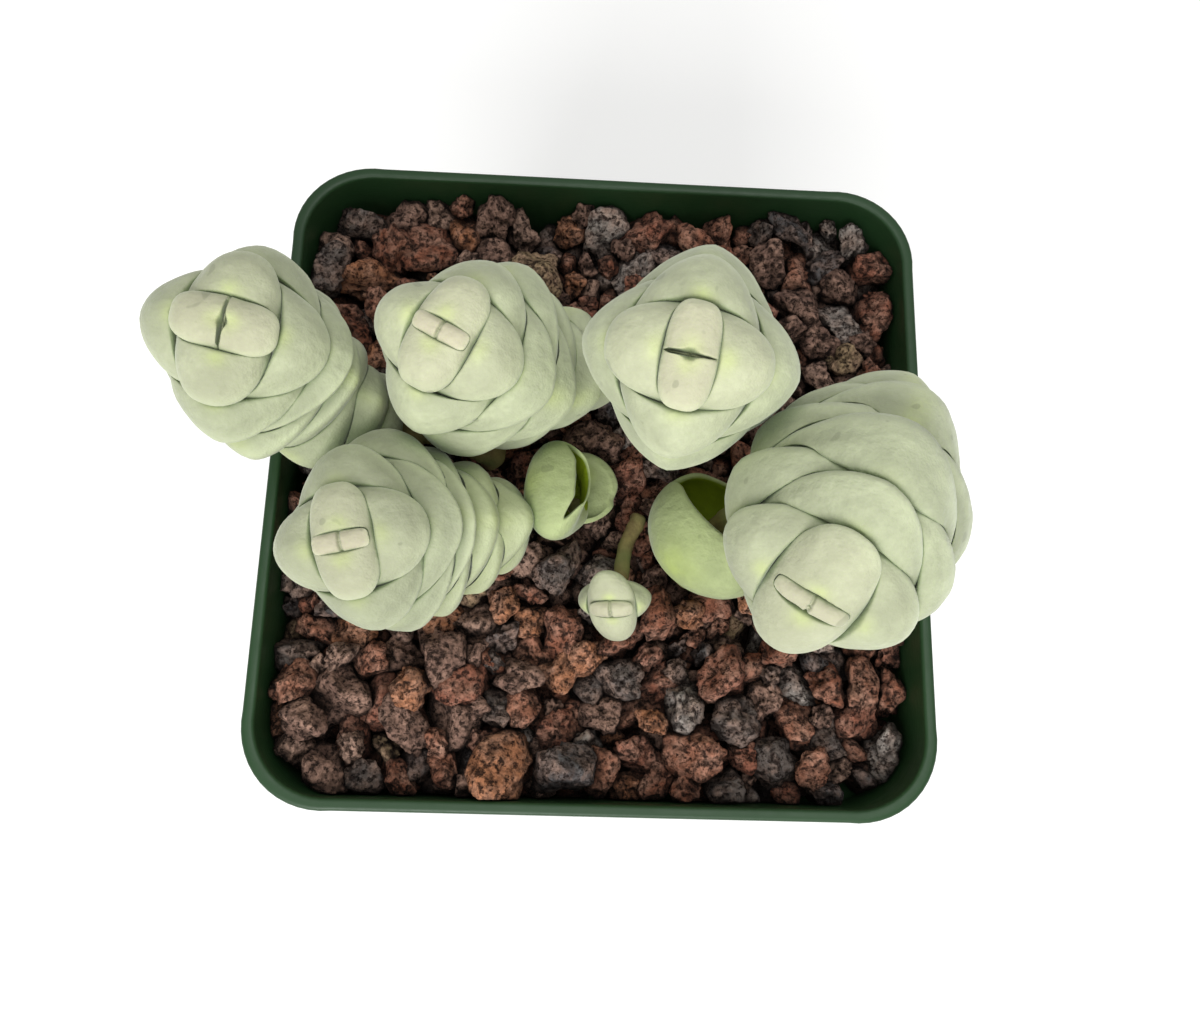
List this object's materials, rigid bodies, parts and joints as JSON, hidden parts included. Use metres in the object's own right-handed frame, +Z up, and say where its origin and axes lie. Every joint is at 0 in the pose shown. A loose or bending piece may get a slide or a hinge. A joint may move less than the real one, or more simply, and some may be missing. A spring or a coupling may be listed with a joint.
{
  "type": "potted crassula",
  "caption": "Potted crassula: fat columns of stacked grey-green leaf pairs leaning out of a square green nursery pot filled with red-brown lava gravel.",
  "frame": {"origin": "centre of the flat underside of the pot, on the surface it stands on", "axes": "+Z up; +X to the right and +Y away from the viewer as the plant is seen with its leaning columns spread left to right; X and Y are square to the pot's sides"},
  "size_m": [0.0985, 0.089, 0.1263],
  "materials": {
    "leaf": "matte",
    "bark": "matte",
    "pot_plastic": "satin",
    "lava_gravel": "matte"
  },
  "bodies": {
    "root": {"column_1_bud": "leaf", "column_1_pair_01": "leaf", "column_1_pair_02": "leaf", "column_1_pair_03": "leaf", "column_1_pair_04": "leaf", "column_1_pair_05": "leaf", "column_1_pair_06": "leaf", "column_1_pair_07_08": "leaf", "column_1_pair_09": "leaf", "column_1_stem": "bark", "column_2_bud": "leaf", "column_2_pair_01": "leaf", "column_2_pair_02": "leaf", "column_2_pair_03": "leaf", "column_2_pair_04": "leaf", "column_2_pair_05": "leaf", "column_2_pair_06_07": "leaf", "column_2_pair_08_09": "leaf", "column_2_stem": "bark", "column_3_bud": "leaf", "column_3_pair_01": "leaf", "column_3_pair_02": "leaf", "column_3_pair_03": "leaf", "column_3_pair_04": "leaf", "column_3_pair_05": "leaf", "column_3_pair_06_07": "leaf", "column_3_pair_08_09": "leaf", "column_3_pair_10_11": "leaf", "column_3_stem": "bark", "column_4_bud": "leaf", "column_4_pair_01": "leaf", "column_4_pair_02": "leaf", "column_4_pair_03": "leaf", "column_4_pair_04": "leaf", "column_4_pair_05": "leaf", "column_4_pair_06_07": "leaf", "column_4_pair_08_09": "leaf", "column_4_pair_10": "leaf", "column_4_stem": "bark", "column_5_bud": "leaf", "column_5_loose_pair_1": "leaf", "column_5_pair_01": "leaf", "column_5_pair_02": "leaf", "column_5_pair_03": "leaf", "column_5_pair_04": "leaf", "column_5_pair_05": "leaf", "column_5_pair_06": "leaf", "column_5_pair_07": "leaf", "column_5_pair_08_09": "leaf", "column_5_pair_10": "leaf", "column_5_stem": "bark", "gravel_bed": "lava_gravel", "offset_bud": "leaf", "offset_pair_01": "leaf", "offset_stem": "bark", "pot": "pot_plastic", "side_shoot_loose_pair_1": "leaf", "side_shoot_loose_pair_2": "leaf", "side_shoot_stem": "bark"}
  },
  "joints": []
}
